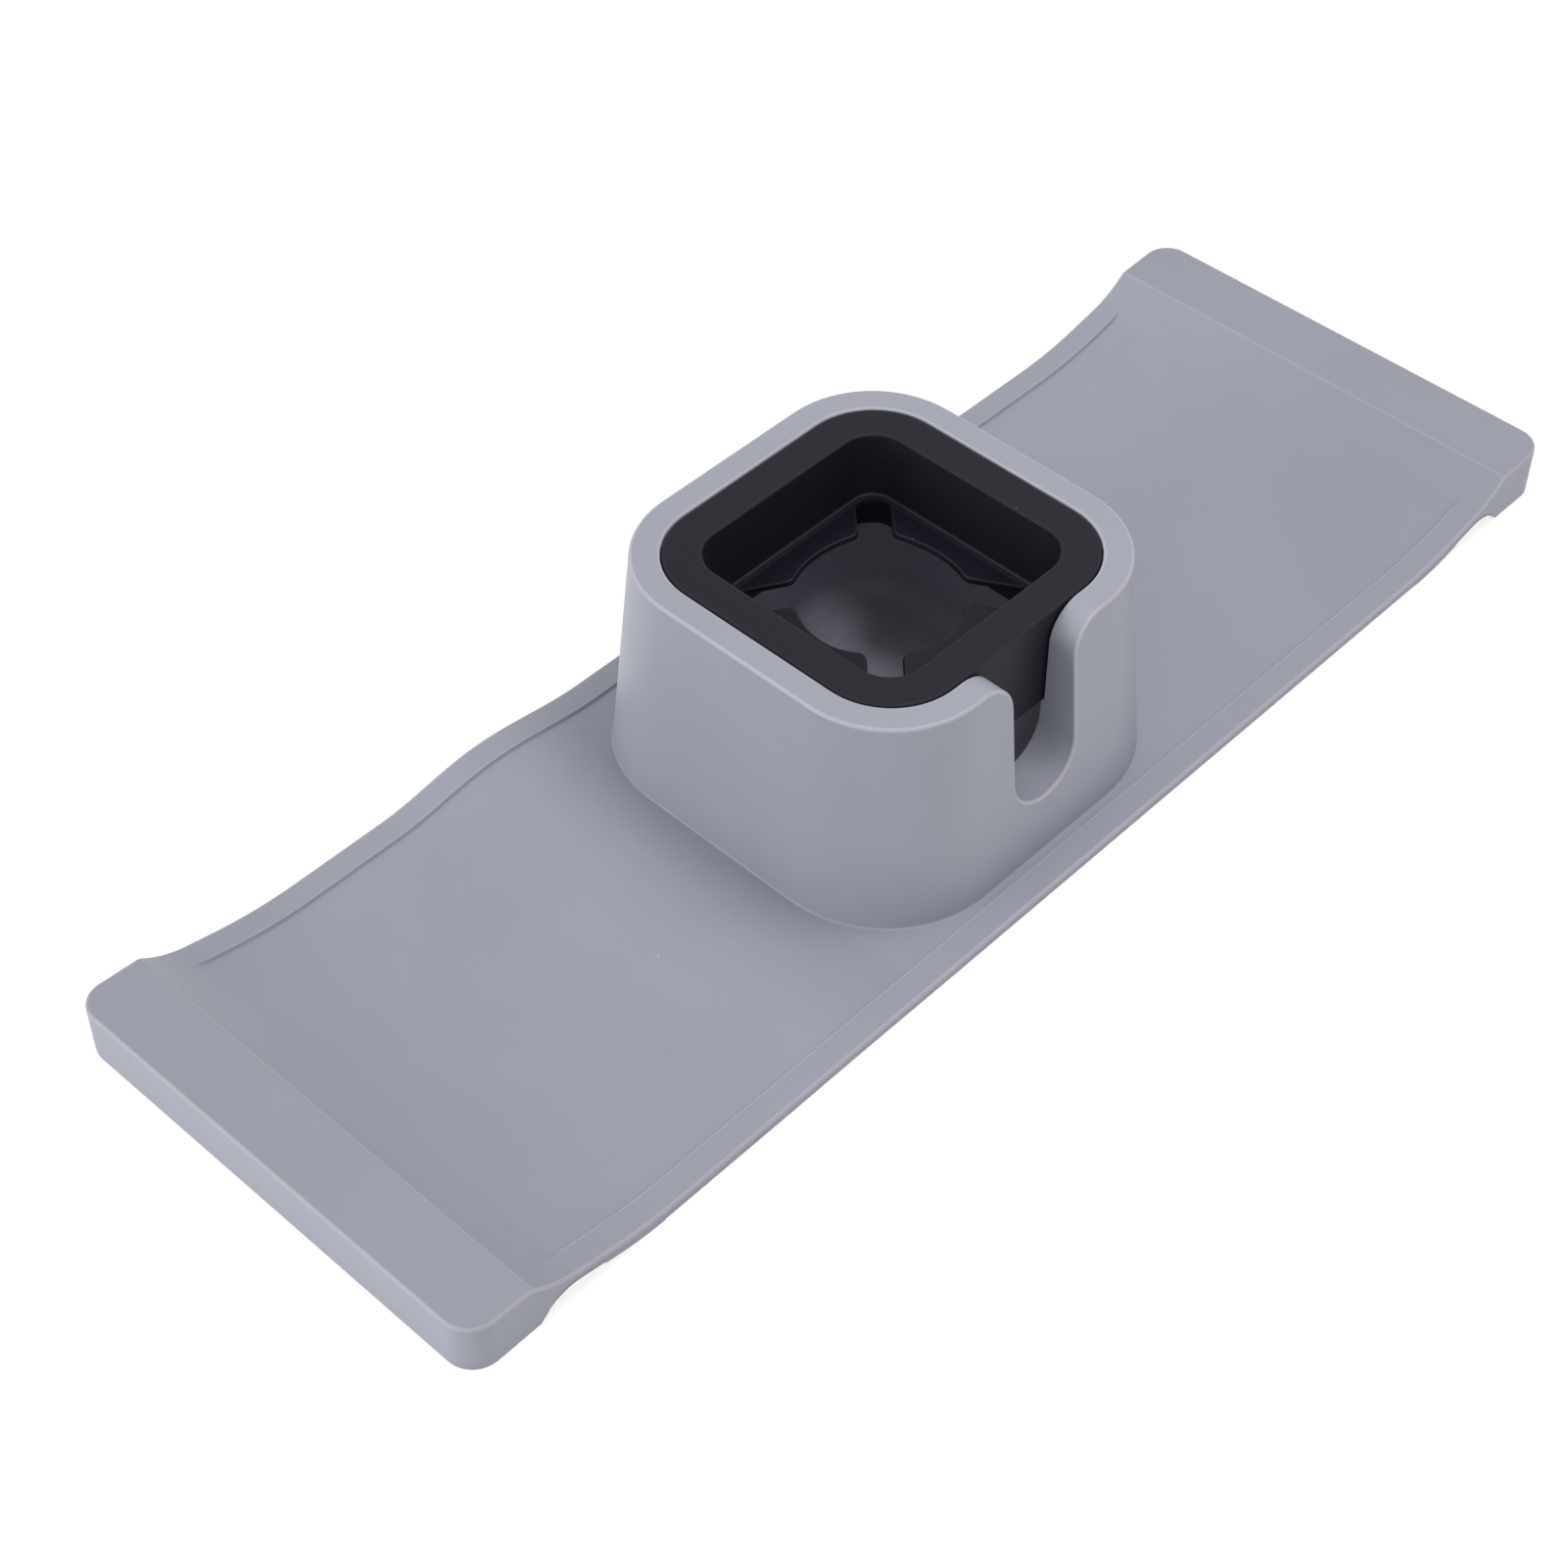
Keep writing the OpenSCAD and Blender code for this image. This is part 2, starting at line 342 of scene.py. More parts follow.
def combine(obj, other, operation):
    """Adds another solid to this one, or cuts it away, and removes the other."""
    only(obj)
    step = obj.modifiers.new("combine", "BOOLEAN")
    step.object = other
    step.operation = operation
    step.solver = "EXACT"
    bpy.ops.object.modifier_apply(modifier=step.name)
    only(other)
    bpy.ops.object.delete()
    return only(obj)


def copy_of(obj, name):
    """A copy of an object with its own mesh."""
    only(obj)
    bpy.ops.object.duplicate(linked=False)
    return added(name)


def steps(start, end, count):
    """Places that divide a stretch into equal steps, without its start and with its end."""
    return [start + (end - start) * (i + 1) / count for i in range(count)]


# Tray

STEP_FADES, STEP_GONE = 189 * MM, 195 * MM  # the border's step runs out on the ramp between these places
# Heights of the cuts for the mould's parting line, a thin strip along the edge between two fine grooves
PARTING = [height * MM for height in (0.6, 0.85, 1.1, 1.45, 1.7, 1.95)]
GROOVES = (PARTING[1], PARTING[4])
GROOVE_DEPTH = 0.18 * MM
PARTING_STOPS = 4 * MM  # the parting line stops where the hollow is this high as it comes down to the bar


def bar_top(sizes, x):
    """Height of an end bar's top, which rises a little from the ridge to the outer face."""
    rise = (sizes.bar_height - sizes.ridge_height) / (sizes.half_length - sizes.ridge)
    return sizes.ridge_height + (x - sizes.ridge) * rise


def sharp_top(sizes, x, foot_height):
    """Height of the upper face before its creases are rounded: web, ramp, curve to the ridge, bar."""
    angle = sizes.ramp_slope
    if x >= sizes.ridge:
        return bar_top(sizes, x)
    run = min(max(0.0, x - sizes.ramp_foot), sizes.ramp_straight)
    height = foot_height + run * math.tan(angle)
    if run < sizes.ramp_straight:
        return height
    start = Vector((sizes.ramp_foot + sizes.ramp_straight, height))
    chord = Vector((sizes.ridge, sizes.ridge_height)) - start
    normal = Vector((-math.sin(angle), math.cos(angle)))
    radius = chord.length_squared / (2 * normal.dot(chord))
    centre = start + radius * normal
    return centre.y - math.sqrt(radius ** 2 - (x - centre.x) ** 2)


def ramp_top(sizes, x, foot_height):
    """Height of the upper face, with the ramp's foot and the ridge rounded."""
    for crease, reach in ((sizes.ramp_foot, sizes.ramp_blend), (sizes.ridge, sizes.ridge_blend)):
        if abs(x - crease) < reach:
            t = (x - crease + reach) / (2 * reach)
            low, corner, high = (sharp_top(sizes, crease + i * reach, foot_height) for i in (-1, 0, 1))
            return (1 - t) ** 2 * low + 2 * t * (1 - t) * corner + t ** 2 * high
    return sharp_top(sizes, x, foot_height)


def hollow_roof(sizes, x):
    """Height of the underside: flat under the web, parallel to the ramp, then a curve to the bar's foot."""
    angle = sizes.ramp_slope
    along = Vector((math.cos(angle), math.sin(angle)))
    down = Vector((math.sin(angle), -math.cos(angle)))
    start_x = sizes.ramp_foot + (sizes.ramp_sheet - sizes.web - sizes.proud) / math.tan(angle)
    start = Vector((start_x, 0))
    gap = start + sizes.hollow * down - Vector((sizes.bar_foot, 0))
    back = gap.dot(along)
    reach = -back - math.sqrt(back ** 2 - gap.length_squared + sizes.hollow ** 2)
    centre = start + reach * along + sizes.hollow * down
    if x <= start.x - sizes.roof_blend or x >= sizes.bar_foot:
        return 0.0
    if x < start.x + sizes.roof_blend:
        return (x - start.x + sizes.roof_blend) ** 2 * math.tan(angle) / (4 * sizes.roof_blend)
    if x <= start.x + reach * along.x:
        return (x - start.x) * math.tan(angle)
    return centre.y + math.sqrt(max(0.0, sizes.hollow ** 2 - (x - centre.x) ** 2))


def section_heights(sizes, x):
    """Heights of the border, the web and the underside at a place along X."""
    edge_top = ramp_top(sizes, x, sizes.web + sizes.proud)
    web_top = ramp_top(sizes, x, sizes.web)
    fade = min(1.0, max(0.0, (x - STEP_FADES) / (STEP_GONE - STEP_FADES)))
    return edge_top, web_top + (edge_top - web_top) * fade * fade * (3 - 2 * fade), hollow_roof(sizes, x)


def stations(sizes):
    """Places along X that the section is drawn on to, close together where a face curves."""
    steep = 5 * MM  # over this last stretch before the bar the hollow comes down steeply
    # Where each stretch ends, and the number of steps in it
    stops = ((sizes.middle, 1), (sizes.middle + BENDS * sizes.pitch, 8 * BENDS),
             (sizes.ramp_foot - sizes.ramp_blend, 5), (sizes.bar_foot - steep, 30), (sizes.bar_foot, 8),
             (sizes.ridge + sizes.ridge_blend, 6))
    places = [0.0]
    for stop, count in stops:
        places += steps(places[-1], stop, count)
    return places[1:]


def tray_section(sizes, skins):
    """The section across the tray's middle, left in edit mode: web, borders, creases and parting line."""
    width, border_top = sizes.half_width, sizes.web + sizes.proud
    inner = width - sizes.border
    crease, lip = inner - sizes.step - sizes.crease, inner + sizes.lip
    section = rectangle("tray", (border_top, 2 * width), (0, 0, border_top / 2), (0, math.pi / 2, 0))
    add_skins(section, skins)
    edit(section)
    for y in (crease - sizes.crease, crease, inner - sizes.step, inner, lip):
        cut((0, -y, 0), (0, 1, 0))
        cut((0, y, 0), (0, 1, 0))
    for z in PARTING:
        cut((0, 0, z), (0, 0, 1))
    pick("VERT", lambda v: same(v.co.z, border_top) and abs(v.co.y) < inner - NEAR)
    slide(z=-sizes.proud)
    for side in (-1, 1):
        pick("VERT", lambda v: any(same(v.co.z, z) for z in GROOVES) and same(v.co.y, side * width))
        slide(y=-side * GROOVE_DEPTH)
    return section


def draw_out(sizes):
    """Draws the section out along X to a bar's outer face, each face at its height on the way."""
    width, inner = sizes.half_width, sizes.half_width - sizes.border
    strip = 2 * MM  # the parting line lies within this height and rises with the underside
    before, at = section_heights(sizes, 0), 0.0
    groups = (lambda v: abs(v.co.y) > inner - NEAR and same(v.co.z, before[0]),
              lambda v: abs(v.co.y) < inner - NEAR and same(v.co.z, before[1]),
              lambda v: v.co.z < before[2] + strip and v.co.z < before[1] - NEAR)
    for x in stations(sizes):
        pick("FACE", lambda f: stands_at(f, at))
        pull(x=x - at)
        now = section_heights(sizes, x)
        for group, old, new in zip(groups, before, now):
            if new != old:
                pick("VERT", lambda v: same(v.co.x, x) and group(v))
                slide(z=new - old)
        if before[2] > PARTING_STOPS > now[2]:
            for side in (-1, 1):
                pick("VERT", lambda v: same(v.co.x, x) and same(width - side * v.co.y, GROOVE_DEPTH))
                slide(y=side * GROOVE_DEPTH)
        before, at = now, x
    pick("FACE", lambda f: stands_at(f, at))
    pull(x=sizes.half_length - at)
    pick("VERT", lambda v: same(v.co.x, sizes.half_length) and same(v.co.z, before[0]))
    slide(z=sizes.bar_height - before[0])


def press_creases(sizes):
    """Presses the creases in along the borders' steps, and paints a highlight in the paler finish on the
    steps' edges and along the ridge.
    """
    inner = sizes.half_width - sizes.border
    crease = inner - sizes.step - sizes.crease
    run_out = 2 * MM  # the crease goes on this far along the fading step
    pick("VERT", lambda v: same(abs(v.co.y), crease) and v.co.x < STEP_FADES + run_out
         and v.co.z > hollow_roof(sizes, v.co.x) + sizes.web / 2)
    slide(z=-sizes.crease)
    # Painted highlight along the top edge of each border's step
    pick("FACE", lambda f: inner < abs(f.calc_center_median().y) < inner + sizes.lip
         and f.calc_center_median().x < STEP_FADES and f.normal.z > LOOKS_UP)
    give_skin(PAINTED_HIGHLIGHT_SKIN)
    # Painted highlight along the ridge
    pick("FACE", lambda f: abs(f.calc_center_median().x - sizes.ridge) < sizes.ridge_blend / 3
         and f.normal.z > LOOKS_UP)
    give_skin(PAINTED_HIGHLIGHT_SKIN)


def round_bar_corners(half_tray, sizes):
    """Opens the half tray at the middle, makes its bar's faces one face each and rounds its corners."""
    last = stations(sizes)[-1]
    bar_from = section_heights(sizes, last)[0]
    edit(half_tray)
    pick("FACE", lambda f: stands_at(f, 0))
    bpy.ops.mesh.delete(type="FACE")
    pick("FACE", lambda f: stands_at(f, sizes.half_length))
    bpy.ops.mesh.dissolve_faces()
    for level in (lambda v: v.co.z > bar_from - NEAR, lambda v: v.co.z < NEAR):
        pick("FACE", lambda f: all(level(v) and v.co.x > last - NEAR for v in f.verts))
        bpy.ops.mesh.dissolve_faces(use_verts=True)
    pick("EDGE", lambda e: same(middle_of(e).x, sizes.half_length)
         and abs(middle_of(e).y) > sizes.half_width - 2 * GROOVE_DEPTH)
    round_off(sizes.corner, segments=12)
    done()


def flat_tray(sizes, skins):
    """The tray without its holder: half of it is drawn out from its middle section, then mirrored."""
    tray = tray_section(sizes, skins)
    draw_out(sizes)
    press_creases(sizes)
    done()
    round_bar_corners(tray, sizes)
    mirror = tray.modifiers.new("other_half", "MIRROR")
    bpy.ops.object.modifier_apply(modifier=mirror.name)
    lift_web(tray, sizes)
    return tray


def lift_web(tray, sizes):
    """The soft web beside the holder swells up a little along its far edge, its near edge staying down."""
    start, crest, end = -45 * MM, -86 * MM, -122 * MM  # where the swell begins, is highest and ends
    edge_top = sizes.web + sizes.proud
    edit(tray)
    cuts = steps(start, -sizes.middle, 10)[:-1]  # from the first bend on, the tray has its own
    for x in cuts:
        cut((x, 0, 0), (1, 0, 0))
    mesh = bmesh.from_edit_mesh(tray.data)
    for place in sorted({round(v.co.x / NEAR) for v in mesh.verts if end < v.co.x < start - NEAR}):
        x = place * NEAR
        foot = start if x > crest else end
        rise = sizes.swell * math.cos((x - crest) / (foot - crest) * math.pi / 2) ** 2
        angle, hinge = rise / (2 * sizes.half_width), (x, -sizes.half_width, edge_top)
        pick("VERT", lambda v: same(v.co.x, x))
        bpy.ops.transform.rotate(value=-angle, orient_axis="X", center_override=hinge)
        # A turned edge would stand out by the web's thickness times the angle, so it is drawn in as much
        narrower = angle * edge_top / (2 * sizes.half_width)
        bpy.ops.transform.resize(value=(1, 1 - narrower, 1), center_override=hinge)
    done()


def on_outline(edge, sizes):
    """True for a sharp edge that runs along the tray's outline, seen from above."""
    off_line = 0.3 * MM  # the swell and the grooves draw an edge in by less than this

    def gap(point):
        x = abs(point.x) - (sizes.half_length - sizes.corner)
        y = abs(point.y) - (sizes.half_width - sizes.corner)
        return (math.hypot(x, y) if min(x, y) > 0 else max(x, y)) - sizes.corner

    a, b = (v.co for v in edge.verts)
    return fold(edge) > SHARP and max(abs(gap(a)), abs(gap(b))) < off_line and (a - b).xy.length > NEAR


# Holder

def rounded_square(name, half, height, corner_at):
    """A flat square with round corners, left open in edit mode with its face selected."""
    obj = rectangle(name, (2 * half, 2 * half), (0, 0, height))
    edit(obj)
    bpy.ops.mesh.select_all(action="SELECT")
    round_corners(half - corner_at)
    pick("FACE", lambda f: True)
    return obj


def holder_body(sizes, skins):
    """The holder's walls, hollow, seat and floor, with the handle slot cut through one wall."""
    base = 2 * MM  # inside the web, so that the two join cleanly
    half = sizes.foot - (sizes.foot - sizes.top) * base / sizes.height
    body = rounded_square("holder", half, base, sizes.corner_at)
    add_skins(body, skins)
    bpy.ops.mesh.inset(thickness=half - sizes.top, depth=sizes.height - base)
    bpy.ops.mesh.inset(thickness=sizes.top - sizes.hollow, depth=0)
    pull(z=sizes.seat - sizes.height)
    bpy.ops.mesh.inset(thickness=sizes.seat_width, depth=0)
    pull(z=sizes.floor - sizes.seat)
    pick("EDGE", lambda e: e.is_boundary)
    bpy.ops.mesh.edge_face_add()
    face_outwards()
    done()
    return combine(body, slot_cutter(sizes), "DIFFERENCE")


def slot_cutter(sizes):
    """A solid the shape of the handle slot: round bottom, straight sides, and lips that curve outwards."""
    bottom, turn = sizes.slot_bottom, sizes.height - sizes.lip
    past = 5 * MM  # how far the cutter reaches out of the holder's side
    above = 2 * MM  # and above its rim
    cutter = rectangle(
        "slot_cutter", (2 * sizes.slot, turn - bottom), (0, 0, (bottom + turn) / 2), (math.pi / 2, 0, 0))
    edit(cutter)
    pick("VERT", lambda v: same(v.co.z, bottom))
    round_corners(sizes.slot)
    at, wide, count = turn, sizes.slot, 12
    for angle in steps(0, math.pi / 2, count):
        z, now = turn + sizes.lip * math.sin(angle), sizes.slot + sizes.lip * (1 - math.cos(angle))
        pick("EDGE", lambda e: lies_at(e, at))
        pull(z=z - at)
        bpy.ops.transform.resize(value=(now / wide, 1, 1), center_override=(0, 0, 0))
        at, wide = z, now
    pick("EDGE", lambda e: lies_at(e, at))
    pull(z=above)
    merge_doubles()
    pull(y=-sizes.foot - past)
    face_outwards()
    done()
    return cutter


def whole_tray(tray_sizes, holder_sizes, skins):
    """Tray and holder as the one moulding that they are, with its edges rounded."""
    tray = combine(flat_tray(tray_sizes, skins), holder_body(holder_sizes, skins), "UNION")
    web = tray_sizes.web
    in_wall = web + 15 * MM  # a height above the holder's root and below the slot's bottom
    edit(tray)
    merge_doubles()
    pick("EDGE", lambda e: all(web - NEAR < v.co.z < web + tray_sizes.swell for v in e.verts)
         and fold(e) < -SHARP and holder_sizes.hollow < from_axis(middle_of(e)) < holder_sizes.foot)
    round_off(holder_sizes.root, segments=4)
    pick("EDGE", lambda e: lies_at(e, holder_sizes.floor) and fold(e) < -SHARP)
    round_off(holder_sizes.floor_root, segments=6)
    # The rounded edges of the rim and the slot take a painted highlight
    pick("EDGE", lambda e: min(v.co.z for v in e.verts) > in_wall and fold(e) > SHARP
         and from_axis(middle_of(e)) < holder_sizes.foot)
    round_off(holder_sizes.edge, skin=PAINTED_HIGHLIGHT_SKIN)
    # The rounded top edges of the outline take a painted highlight
    pick("EDGE", lambda e: on_outline(e, tray_sizes) and min(v.co.z for v in e.verts) > web)
    round_off(tray_sizes.edge, skin=PAINTED_HIGHLIGHT_SKIN)
    pick("EDGE", lambda e: on_outline(e, tray_sizes) and max(v.co.z for v in e.verts) < NEAR)
    round_off(tray_sizes.sole, segments=2)
    done()
    return tray


def tray_pieces(sizes):
    """The pieces that the moulding is cut into: name, start and end along X, bodies and CAD nodes."""
    edges = [sizes.middle + i * sizes.pitch for i in range(BENDS + 1)]
    pieces = [("tray_middle", -edges[0], edges[0], ["holder"], ["cup_holder"])]
    for side, sign in (("right", 1), ("left", -1)):
        strips = range(1, BENDS)
        bodies = ["holder", *(f"{side}_strip_{i}" for i in strips), f"{side}_wing"]
        webs = [f"{side}_web_{i}" for i in strips]
        for i in range(BENDS):
            pieces.append((f"{side}_bend_{i + 1}", sign * edges[i], sign * edges[i + 1], bodies[i:i + 2],
                           webs[max(0, i - 1):i + 1]))
        past_end = 2 * sizes.half_length
        pieces.append((f"{side}_end", sign * edges[-1], sign * past_end, bodies[-1:], [f"{side}_wing"]))
    return pieces


def cut_out(tray, name, start, end, half_length):
    """A copy of the moulding from one place along X to another, closed where it is cut."""
    piece = copy_of(tray, name)
    edit(piece)
    for x, normal in ((min(start, end), -1), (max(start, end), 1)):
        if abs(x) < half_length:
            cut((x, 0, 0), (normal, 0, 0), clear_outer=True, threshold=NEAR)
            pick("EDGE", lambda e: e.is_boundary)
            bpy.ops.mesh.edge_face_add()
    done()
    return finish_mesh(piece)


class SOFATRAY_OT_tray(bpy.types.Operator):
    """Models the grey moulding of web, end bars and holder, and parts it where it bends"""
    bl_idname = "sofatray.tray"
    bl_label = "Tray and Holder"

    def execute(self, context):
        sizes = context.scene.tray_sizes
        finishes = context.scene.finishes
        # The second finish is a paler grey, a painted highlight on the rounded edges
        skins = (silicone("grey_moulded_silicone", finishes.grey),
                 silicone("grey_silicone_painted_highlight", finishes.grey_edge_highlight))
        tray = whole_tray(sizes, context.scene.holder_sizes, skins)
        for name, start, end, bodies, nodes in tray_pieces(sizes):
            piece = cut_out(tray, name, start, end, sizes.half_length)
            if len(bodies) == 1:
                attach(piece, bodies[0])
            else:
                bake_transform(piece)
            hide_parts(*nodes)
        only(tray)
        bpy.ops.object.delete()
        return {"FINISHED"}


# Insert and flaps

def black_skins(finishes):
    """The two finishes of the insert and its flaps: the black, and a paler black on the edges that is a
    painted highlight.
    """
    return (black_silicone("black_moulded_silicone", finishes.black),
            black_silicone("black_silicone_painted_highlight", finishes.black_edge_highlight))


def insert_body(sizes, holder, skins):
    """The insert's ring: rim and tapered well down to the ledge above, bevelled skirt below."""
    insert = rounded_square("insert", sizes.outside, holder.seat, holder.corner_at)
    add_skins(insert, skins)
    pull(z=holder.height - holder.seat)
    mouth, under = sizes.outside - sizes.rim, sizes.ledge - sizes.thickness
    pick("FACE", lambda f: lies_at(f, holder.height))
    bpy.ops.mesh.inset(thickness=sizes.rim, depth=0)
    bpy.ops.mesh.inset(thickness=mouth - sizes.well_foot, depth=sizes.ledge - holder.height)
    bpy.ops.mesh.inset(thickness=sizes.ledge_width, depth=0)
    bpy.ops.mesh.delete(type="ONLY_FACE")
    pick("FACE", lambda f: lies_at(f, holder.seat))
    bpy.ops.mesh.inset(thickness=sizes.outside - sizes.well_foot - sizes.skirt, depth=0)
    bpy.ops.mesh.inset(thickness=sizes.skirt, depth=-sizes.skirt)
    pull(z=under - holder.seat - sizes.skirt)
    bpy.ops.mesh.inset(thickness=sizes.ledge_width, depth=0)
    bpy.ops.mesh.delete(type="ONLY_FACE")
    pick("EDGE", lambda e: e.is_boundary)
    bpy.ops.mesh.bridge_edge_loops()
    face_outwards()
    # The rounded edges of the rim take a painted highlight
    pick("EDGE", lambda e: lies_at(e, holder.height) and fold(e) > SHARP)
    round_off(sizes.edge, skin=PAINTED_HIGHLIGHT_SKIN)
    # The rounded root of the ledge takes a painted highlight
    pick("EDGE", lambda e: lies_at(e, sizes.ledge) and fold(e) < -SHARP)
    round_off(sizes.root, skin=PAINTED_HIGHLIGHT_SKIN)
    done()
    return finish_mesh(insert, angle=50)


class SOFATRAY_OT_insert(bpy.types.Operator):
    """Models the black insert with its rim, tapered well, ledge and skirt"""
    bl_idname = "sofatray.insert"
    bl_label = "Cup Insert"

    def execute(self, context):
        insert = insert_body(context.scene.insert_sizes, context.scene.holder_sizes,
                             black_skins(context.scene.finishes))
        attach(insert, "insert")
        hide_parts("cup_insert")
        return {"FINISHED"}


def flap_outline(sizes, root, skins):
    """A flap's flat outline, left in edit mode: the grip hole's arc, two round ears and the sides."""
    offset = sizes.channel / math.sqrt(2)
    ear_offset = offset + sizes.ear * math.sqrt(2)
    reach = sizes.grip + sizes.ear
    ear_x = (math.sqrt(2 * reach ** 2 - ear_offset ** 2) - ear_offset) / 2
    ear = Vector((ear_x, ear_x + ear_offset, sizes.ledge))
    slack = 1e-4
    half_turn = math.atan2(ear.x, ear.y) - slack  # from a flap's middle to its ear, seen from above
    count = 120
    one_step = 2 * math.pi / count
    bpy.ops.object.select_all(action="DESELECT")
    bpy.ops.mesh.primitive_circle_add(
        vertices=count, radius=sizes.grip, fill_type="NOTHING", location=(0, 0, sizes.ledge))
    flap = added("grip_flap")
    add_skins(flap, skins)
    bpy.ops.object.transform_apply(location=True, rotation=True, scale=True)
    edit(flap)
    pick("VERT", lambda v: abs(math.atan2(v.co.x, v.co.y)) > half_turn)
    bpy.ops.mesh.delete(type="VERT")
    arc = one_step * math.floor(half_turn / one_step)
    end = Vector((sizes.grip * math.sin(arc), sizes.grip * math.cos(arc)))
    touch = ear * sizes.grip / reach
    # On round the ear, until it runs along the channel, which lies at 45 degrees
    sweep = math.radians(-45) - math.atan2(-ear.y, -ear.x)
    tip = Vector((ear.x + sizes.ear / math.sqrt(2), ear.y - sizes.ear / math.sqrt(2)))
    for side in (1, -1):
        pick("VERT", lambda v: same(v.co.x, side * end.x))
        pull(x=side * (touch.x - end.x), y=touch.y - end.y)
        bpy.ops.mesh.spin(
            steps=14, angle=-side * sweep, center=(side * ear.x, ear.y, sizes.ledge), axis=(0, 0, 1))
        pull(x=side * (root - tip.y), y=root - tip.y)
    pick("VERT", lambda v: same(v.co.y, root))
    bpy.ops.mesh.edge_face_add()
    return flap


def flap_body(sizes, root, skins):
    """One flap, at the back of the well: its outline made solid, cut where it bends, rounded, sloped."""
    flap = flap_outline(sizes, root, skins)
    bpy.ops.mesh.select_all(action="SELECT")
    bpy.ops.mesh.edge_face_add()
    bpy.ops.mesh.select_all(action="SELECT")
    pull(z=-sizes.thickness)
    for y in steps(root, root - sizes.bend, 6):
        cut((0, y, 0), (0, 1, 0))
    face_outwards()
    # The rounded edges of the flap take a painted highlight
    pick("EDGE", lambda e: fold(e) > SHARP and min(v.co.y for v in e.verts) < root - NEAR
         and same(e.verts[0].co.z, e.verts[1].co.z))
    round_off(sizes.flap_edge, segments=2, skin=PAINTED_HIGHLIGHT_SKIN)
    bpy.ops.mesh.select_all(action="SELECT")
    hinge = (0, root, sizes.ledge)
    bpy.ops.transform.resize(value=(1, 1 / math.cos(sizes.slope), 1), center_override=hinge)
    bpy.ops.transform.rotate(value=sizes.slope, orient_axis="X", center_override=hinge)
    # The root stays upright where it meets the ledge
    pick("VERT", lambda v: same(v.co.y, root) or v.co.y > root)
    bpy.ops.transform.resize(value=(1, 0, 1), center_override=hinge)
    done()
    return flap


class SOFATRAY_OT_flaps(bpy.types.Operator):
    """Models one grip flap and copies it to the well's four sides"""
    bl_idname = "sofatray.flaps"
    bl_label = "Grip Flaps"

    def execute(self, context):
        sizes = context.scene.insert_sizes
        root = sizes.well_foot - sizes.ledge_width
        flap = flap_body(sizes, root, black_skins(context.scene.finishes))
        for i, side in enumerate(("back", "left", "front", "right")):
            turn = i * math.pi / 2
            piece = copy_of(flap, f"flap_{side}")
            piece.rotation_euler.z = turn
            bpy.ops.object.transform_apply(location=False, rotation=True, scale=False)
            finish_mesh(piece, angle=50)
            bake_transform(piece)
            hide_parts(f"grip_flap_{side}")
        only(flap)
        bpy.ops.object.delete()
        return {"FINISHED"}


class SOFATRAY_OT_weights(bpy.types.Operator):
    """Gives the steel weights inside the end bars their finish"""
    bl_idname = "sofatray.weights"
    bl_label = "Weights"

    def execute(self, context):
        finish = mill_steel("mill_finish_steel", context.scene.finishes.steel)
        for side in ("right", "left"):
            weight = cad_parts[f"{side}_weight"]
            for place in weight.material_slots:
                place.material = finish
        return {"FINISHED"}


# Materials

def node(tree, kind, inputs=None, **settings):
    """Adds a node with its settings, and sets or links its inputs."""
    made = tree.nodes.new(kind)
    for name, value in settings.items():
        setattr(made, name, value)
    for name, value in (inputs or {}).items():
        if isinstance(value, bpy.types.NodeSocket):
            tree.links.new(value, made.inputs[name])
        else:
            made.inputs[name].default_value = value
    return made


def new_material(name):
    """An empty material and its node tree."""
    material = bpy.data.materials.new(name)
    material.use_nodes = True
    material.node_tree.nodes.clear()
    return material, material.node_tree


def rgba(values):
    """A colour with full opacity."""
    return (*values, 1)


def dusted(tree, place, shade, cell, radius, kinds):
    """Lays round specks over a colour. Space is filled with cells of one speck each, both sized in
    millimetres, and the surface shows those that it cuts. The kinds say which of them are kept, in what
    colour and how strongly."""
    cells = node(tree, "ShaderNodeTexVoronoi", {"Vector": place, "Scale": 1 / (cell * MM)})
    speck = node(tree, "ShaderNodeMath", {0: cells.outputs["Distance"], 1: radius / cell},
                 operation="LESS_THAN")
    chance = node(tree, "ShaderNodeSeparateColor", {"Color": cells.outputs["Color"]}).outputs["Red"]
    for comparison, limit, tint, strength in kinds:
        kept = node(tree, "ShaderNodeMath", {0: chance, 1: limit}, operation=comparison)
        shown = node(tree, "ShaderNodeMath", {0: speck.outputs["Value"], 1: kept.outputs["Value"]},
                     operation="MULTIPLY")
        part = node(tree, "ShaderNodeMath", {0: shown.outputs["Value"], 1: strength}, operation="MULTIPLY")
        mixed = node(tree, "ShaderNodeMix",
                     {0: part.outputs["Value"], 6: shade, 7: rgba(linear_colour(tint))}, data_type="RGBA")
        shade = mixed.outputs[2]
    return shade


